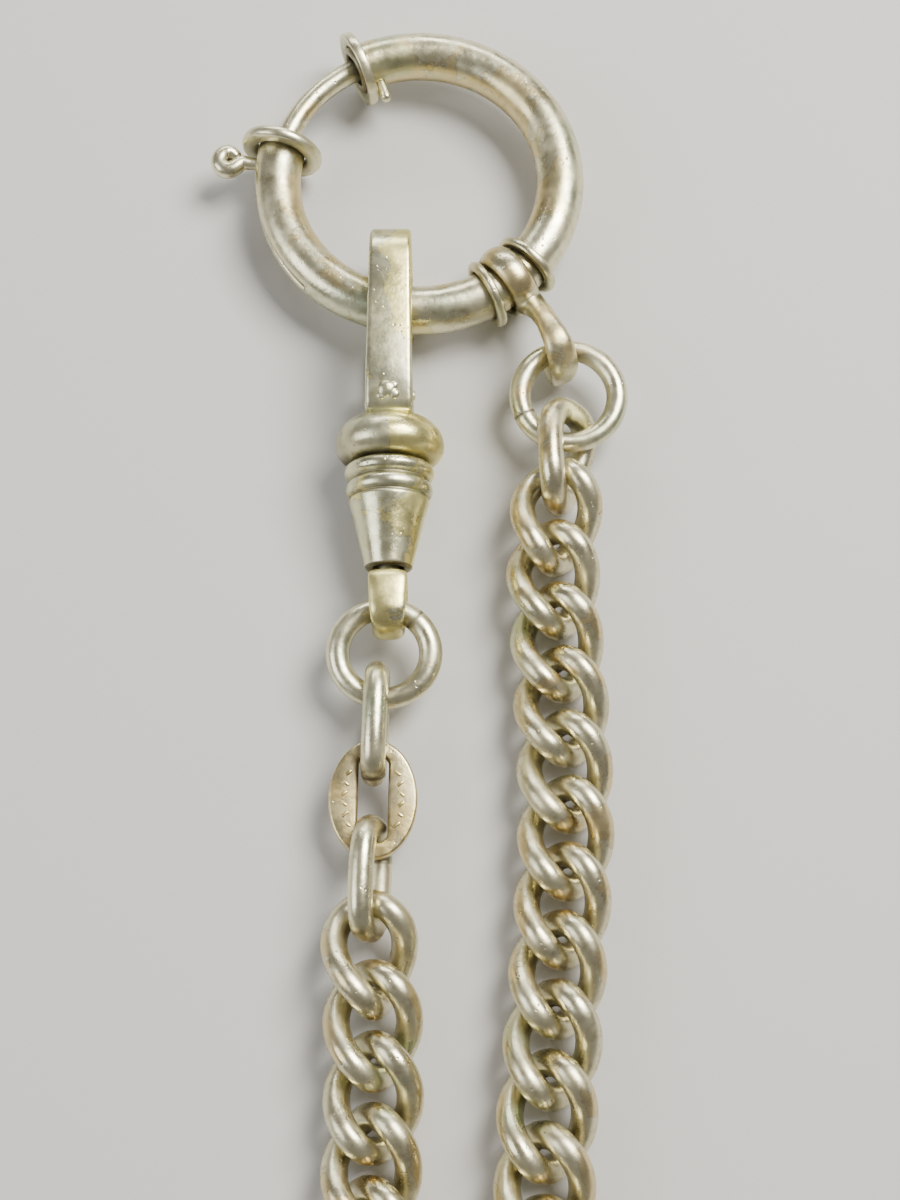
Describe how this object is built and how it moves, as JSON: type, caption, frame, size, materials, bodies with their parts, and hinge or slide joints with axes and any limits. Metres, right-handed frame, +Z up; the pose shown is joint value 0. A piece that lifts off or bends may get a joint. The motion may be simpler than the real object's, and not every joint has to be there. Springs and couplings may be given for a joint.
{
  "type": "pocket watch chain",
  "caption": "Pocket watch chain doubled back on itself: spring ring with sliding bolt, swivel clip hooked over it, tag link and twisted curb links, each link hinged to the next.",
  "frame": {"origin": "under the middle of the whole chain, on the surface that it lies on", "axes": "+Z up, +Y from the bight of the chain towards the spring ring, +X to the side of the run that hangs from the ring"},
  "size_m": [0.0272, 0.098, 0.0061],
  "materials": {
    "ring_metal": "worn nickel-silver plate over brass, satin",
    "clip_metal": "worn pale plate over brass, polished on the high spots",
    "curb_link": "worn plate, warm grey, brighter where links rub",
    "tag": "worn plate on a flat pressed link",
    "spring_wire": "plain spring wire"
  },
  "bodies": {
    "spring_ring": {"ring_tube": "ring_metal", "upper_mouth_collar": "ring_metal", "lower_mouth_collar": "ring_metal", "stop_pin": "ring_metal", "bolt_spring": "spring_wire", "band_collar_a": "clip_metal", "band_collar_b": "clip_metal"},
    "ring_bolt": {"bolt": "ring_metal", "thumb_lug": "ring_metal"},
    "swivel_band": {"swivel_band": "clip_metal"},
    "large_jump_ring": {"large_jump_ring": "ring_metal"},
    "clip": {"clip_hook": "clip_metal", "hook_rivet": "clip_metal", "gate_pin": "ring_metal", "clip_collar": "clip_metal", "clip_barrel": "clip_metal"},
    "gate": {"clip_gate": "clip_metal"},
    "swivel_eye": {"swivel_eye": "clip_metal"},
    "small_jump_ring": {"small_jump_ring": "ring_metal"},
    "connector_upper": {"connector_upper": "ring_metal"},
    "tag_link": {"tag_link": "tag"},
    "connector_lower": {"connector_lower": "ring_metal"},
    "link_01": {"link_01": "curb_link"},
    "link_02": {"link_02": "curb_link"},
    "link_03": {"link_03": "curb_link"},
    "link_04": {"link_04": "curb_link"},
    "link_05": {"link_05": "curb_link"},
    "link_06": {"link_06": "curb_link"},
    "link_07": {"link_07": "curb_link"},
    "link_08": {"link_08": "curb_link"},
    "link_09": {"link_09": "curb_link"},
    "link_10": {"link_10": "curb_link"},
    "link_11": {"link_11": "curb_link"},
    "link_12": {"link_12": "curb_link"},
    "link_13": {"link_13": "curb_link"},
    "link_14": {"link_14": "curb_link"},
    "link_15": {"link_15": "curb_link"},
    "link_16": {"link_16": "curb_link"},
    "link_17": {"link_17": "curb_link"},
    "link_18": {"link_18": "curb_link"},
    "link_19": {"link_19": "curb_link"},
    "link_20": {"link_20": "curb_link"},
    "link_21": {"link_21": "curb_link"},
    "link_22": {"link_22": "curb_link"},
    "link_23_half_a": {"link_23_half_a": "curb_link"},
    "link_23_half_b": {"link_23_half_b": "curb_link"},
    "link_24": {"link_24": "curb_link"},
    "link_25": {"link_25": "curb_link"},
    "link_26": {"link_26": "curb_link"},
    "link_27": {"link_27": "curb_link"},
    "link_28": {"link_28": "curb_link"},
    "link_29": {"link_29": "curb_link"},
    "link_30": {"link_30": "curb_link"},
    "link_31": {"link_31": "curb_link"},
    "link_32": {"link_32": "curb_link"},
    "link_33": {"link_33": "curb_link"},
    "link_34": {"link_34": "curb_link"},
    "link_35": {"link_35": "curb_link"},
    "link_36": {"link_36": "curb_link"},
    "link_37": {"link_37": "curb_link"}
  },
  "joints": [
    {"name": "bolt_slide", "type": "hinge", "parent": "spring_ring", "child": "ring_bolt", "pos_m": [-0.00153, 0.03959, 0.00246], "axis": [0, 0, 1], "range_deg": [0, 49], "stiffness_Nm_per_rad": 0.002, "springref_deg": -17.19, "deforming": ["bolt_spring"]},
    {"name": "band_swing", "type": "hinge", "parent": "spring_ring", "child": "swivel_band", "pos_m": [0.00359, 0.03326, 0.00246], "axis": [-0.7771, -0.6293, 0], "range_deg": [-60, 100]},
    {"name": "large_ring_hang", "type": "hinge", "parent": "swivel_band", "child": "large_jump_ring", "pos_m": [0.00686, 0.02898, 0.00246], "axis": [1, 0, 0], "range_deg": [-40, 40]},
    {"name": "clip_swing", "type": "hinge", "parent": "spring_ring", "child": "clip", "pos_m": [-0.00303, 0.03144, 0.00246], "axis": [-1, 0, 0], "range_deg": [-45, 100]},
    {"name": "gate_open", "type": "hinge", "parent": "clip", "child": "gate", "pos_m": [-0.00303, 0.02679, 0.00121], "axis": [1, 0, 0], "range_deg": [0, 36], "stiffness_Nm_per_rad": 0.0006, "springref_deg": -17.19},
    {"name": "eye_spin", "type": "hinge", "parent": "clip", "child": "swivel_eye", "pos_m": [-0.00303, 0.01571, 0.00301], "axis": [0, 1, 0], "range_deg": [-10, 140]},
    {"name": "small_ring_hang", "type": "hinge", "parent": "swivel_eye", "child": "small_jump_ring", "pos_m": [-0.00324, 0.01398, 0.00281], "axis": [-1, 0, 0], "range_deg": [-40, 40]},
    {"name": "upper_connector_hang", "type": "hinge", "parent": "small_jump_ring", "child": "connector_upper", "pos_m": [-0.0036, 0.00987, 0.00228], "axis": [1, 0, 0], "range_deg": [-22, 22]},
    {"name": "tag_hang", "type": "hinge", "parent": "connector_upper", "child": "tag_link", "pos_m": [-0.00374, 0.00568, 0.00226], "axis": [-1, 0, 0], "range_deg": [-30, 30]},
    {"name": "lower_connector_hang", "type": "hinge", "parent": "tag_link", "child": "connector_lower", "pos_m": [-0.00379, 0.00163, 0.00226], "axis": [1, 0, 0], "range_deg": [-30, 30]},
    {"name": "join_01", "type": "hinge", "parent": "large_jump_ring", "child": "link_01", "pos_m": [0.00686, 0.02448, 0.00222], "axis": [-1, 0, 0], "range_deg": [-25, 20]},
    {"name": "join_02", "type": "hinge", "parent": "link_01", "child": "link_02", "pos_m": [0.00622, 0.02103, 0.00237], "axis": [1, 0, 0], "range_deg": [-20, 20]},
    {"name": "join_03", "type": "hinge", "parent": "link_02", "child": "link_03", "pos_m": [0.00584, 0.01754, 0.00197], "axis": [-1, 0, 0], "range_deg": [-20, 20]},
    {"name": "join_04", "type": "hinge", "parent": "link_03", "child": "link_04", "pos_m": [0.00592, 0.01404, 0.00181], "axis": [1, 0, 0], "range_deg": [-20, 20]},
    {"name": "join_05", "type": "hinge", "parent": "link_04", "child": "link_05", "pos_m": [0.00613, 0.01053, 0.00169], "axis": [-1, 0, 0], "range_deg": [-20, 20]},
    {"name": "join_06", "type": "hinge", "parent": "link_05", "child": "link_06", "pos_m": [0.00628, 0.00702, 0.00169], "axis": [1, 0, 0], "range_deg": [-20, 20]},
    {"name": "join_07", "type": "hinge", "parent": "link_06", "child": "link_07", "pos_m": [0.00638, 0.00351, 0.00169], "axis": [-1, 0, 0], "range_deg": [-20, 20]},
    {"name": "join_08", "type": "hinge", "parent": "link_07", "child": "link_08", "pos_m": [0.00623, 0.00001, 0.00169], "axis": [1, 0, 0], "range_deg": [-20, 20]},
    {"name": "join_09", "type": "hinge", "parent": "link_08", "child": "link_09", "pos_m": [0.00592, -0.00349, 0.00169], "axis": [-1, 0, 0], "range_deg": [-18, 18]},
    {"name": "join_10", "type": "hinge", "parent": "link_09", "child": "link_10", "pos_m": [0.00562, -0.00698, 0.00169], "axis": [1, 0, 0], "range_deg": [-20, 20]},
    {"name": "join_11", "type": "hinge", "parent": "link_10", "child": "link_11", "pos_m": [0.00528, -0.01048, 0.00169], "axis": [-1, 0, 0], "range_deg": [-20, 20]},
    {"name": "join_12", "type": "hinge", "parent": "link_11", "child": "link_12", "pos_m": [0.00498, -0.01398, 0.00169], "axis": [1, 0, 0], "range_deg": [-20, 20]},
    {"name": "join_13", "type": "hinge", "parent": "link_12", "child": "link_13", "pos_m": [0.00494, -0.01749, 0.00169], "axis": [-1, 0, 0], "range_deg": [-20, 20]},
    {"name": "join_14", "type": "hinge", "parent": "link_13", "child": "link_14", "pos_m": [0.00548, -0.02094, 0.00169], "axis": [1, 0, 0], "range_deg": [-20, 20]},
    {"name": "join_15", "type": "hinge", "parent": "link_14", "child": "link_15", "pos_m": [0.00718, -0.024, 0.00169], "axis": [-1, 0, 0], "range_deg": [-20, 20]},
    {"name": "join_16", "type": "hinge", "parent": "link_15", "child": "link_16", "pos_m": [0.00899, -0.027, 0.00169], "axis": [1, 0, 0], "range_deg": [-20, 20]},
    {"name": "join_17", "type": "hinge", "parent": "link_16", "child": "link_17", "pos_m": [0.01029, -0.03026, 0.00169], "axis": [-1, 0, 0], "range_deg": [-20, 20]},
    {"name": "join_18", "type": "hinge", "parent": "link_17", "child": "link_18", "pos_m": [0.01119, -0.03365, 0.00169], "axis": [1, 0, 0], "range_deg": [-20, 20]},
    {"name": "join_19", "type": "hinge", "parent": "link_18", "child": "link_19", "pos_m": [0.01103, -0.03714, 0.00169], "axis": [-1, 0, 0], "range_deg": [-20, 20]},
    {"name": "join_20", "type": "hinge", "parent": "link_19", "child": "link_20", "pos_m": [0.00994, -0.04047, 0.00169], "axis": [1, 0, 0], "range_deg": [-20, 20]},
    {"name": "join_21", "type": "hinge", "parent": "link_20", "child": "link_21", "pos_m": [0.00806, -0.04341, 0.00169], "axis": [-1, 0, 0], "range_deg": [-14, 14]},
    {"name": "join_22", "type": "hinge", "parent": "link_21", "child": "link_22", "pos_m": [0.00523, -0.04547, 0.00169], "axis": [1, 0, 0], "range_deg": [-14, 14]},
    {"name": "join_23", "type": "hinge", "parent": "link_22", "child": "link_23_half_a", "pos_m": [0.00192, -0.0466, 0.00169], "axis": [-1, 0, 0], "range_deg": [-12, 12]},
    {"name": "join_38", "type": "hinge", "parent": "connector_lower", "child": "link_37", "pos_m": [-0.00394, -0.00256, 0.00216], "axis": [-1, 0, 0], "range_deg": [-18, 18]},
    {"name": "join_37", "type": "hinge", "parent": "link_37", "child": "link_36", "pos_m": [-0.00369, -0.00606, 0.00201], "axis": [1, 0, 0], "range_deg": [-20, 20]},
    {"name": "join_36", "type": "hinge", "parent": "link_36", "child": "link_35", "pos_m": [-0.00357, -0.00957, 0.00185], "axis": [-1, 0, 0], "range_deg": [-20, 20]},
    {"name": "join_35", "type": "hinge", "parent": "link_35", "child": "link_34", "pos_m": [-0.0036, -0.01308, 0.00169], "axis": [1, 0, 0], "range_deg": [-20, 20]},
    {"name": "join_34", "type": "hinge", "parent": "link_34", "child": "link_33", "pos_m": [-0.00369, -0.01659, 0.00169], "axis": [-1, 0, 0], "range_deg": [-20, 20]},
    {"name": "join_33", "type": "hinge", "parent": "link_33", "child": "link_32", "pos_m": [-0.00374, -0.02009, 0.00169], "axis": [1, 0, 0], "range_deg": [-20, 20]},
    {"name": "join_32", "type": "hinge", "parent": "link_32", "child": "link_31", "pos_m": [-0.00519, -0.02326, 0.00169], "axis": [-1, 0, 0], "range_deg": [-20, 20]},
    {"name": "join_31", "type": "hinge", "parent": "link_31", "child": "link_30", "pos_m": [-0.00718, -0.02615, 0.00169], "axis": [1, 0, 0], "range_deg": [-20, 20]},
    {"name": "join_30", "type": "hinge", "parent": "link_30", "child": "link_29", "pos_m": [-0.00863, -0.02934, 0.00169], "axis": [-1, 0, 0], "range_deg": [-20, 20]},
    {"name": "join_29", "type": "hinge", "parent": "link_29", "child": "link_28", "pos_m": [-0.00969, -0.03268, 0.00169], "axis": [1, 0, 0], "range_deg": [-20, 20]},
    {"name": "join_28", "type": "hinge", "parent": "link_28", "child": "link_27", "pos_m": [-0.00986, -0.03617, 0.00169], "axis": [-1, 0, 0], "range_deg": [-20, 20]},
    {"name": "join_27", "type": "hinge", "parent": "link_27", "child": "link_26", "pos_m": [-0.00899, -0.03956, 0.00169], "axis": [1, 0, 0], "range_deg": [-20, 20]},
    {"name": "join_26", "type": "hinge", "parent": "link_26", "child": "link_25", "pos_m": [-0.00735, -0.04266, 0.00169], "axis": [-1, 0, 0], "range_deg": [-14, 14]},
    {"name": "join_25", "type": "hinge", "parent": "link_25", "child": "link_24", "pos_m": [-0.00476, -0.04499, 0.00169], "axis": [1, 0, 0], "range_deg": [-14, 14]},
    {"name": "join_24", "type": "hinge", "parent": "link_24", "child": "link_23_half_b", "pos_m": [-0.00155, -0.04639, 0.00169], "axis": [-1, 0, 0], "range_deg": [-12, 12]}
  ],
  "couplings": [
    {"joint": "join_38", "follows": "join_09", "ratio": 1},
    {"joint": "join_37", "follows": "join_10", "ratio": 1},
    {"joint": "join_36", "follows": "join_11", "ratio": 1},
    {"joint": "join_35", "follows": "join_12", "ratio": 1},
    {"joint": "join_34", "follows": "join_13", "ratio": 1},
    {"joint": "join_33", "follows": "join_14", "ratio": 1},
    {"joint": "join_32", "follows": "join_15", "ratio": 1},
    {"joint": "join_31", "follows": "join_16", "ratio": 1},
    {"joint": "join_30", "follows": "join_17", "ratio": 1},
    {"joint": "join_29", "follows": "join_18", "ratio": 1},
    {"joint": "join_28", "follows": "join_19", "ratio": 1},
    {"joint": "join_27", "follows": "join_20", "ratio": 1},
    {"joint": "join_26", "follows": "join_21", "ratio": 1},
    {"joint": "join_25", "follows": "join_22", "ratio": 1},
    {"joint": "join_24", "follows": "join_23", "ratio": 1}
  ]
}
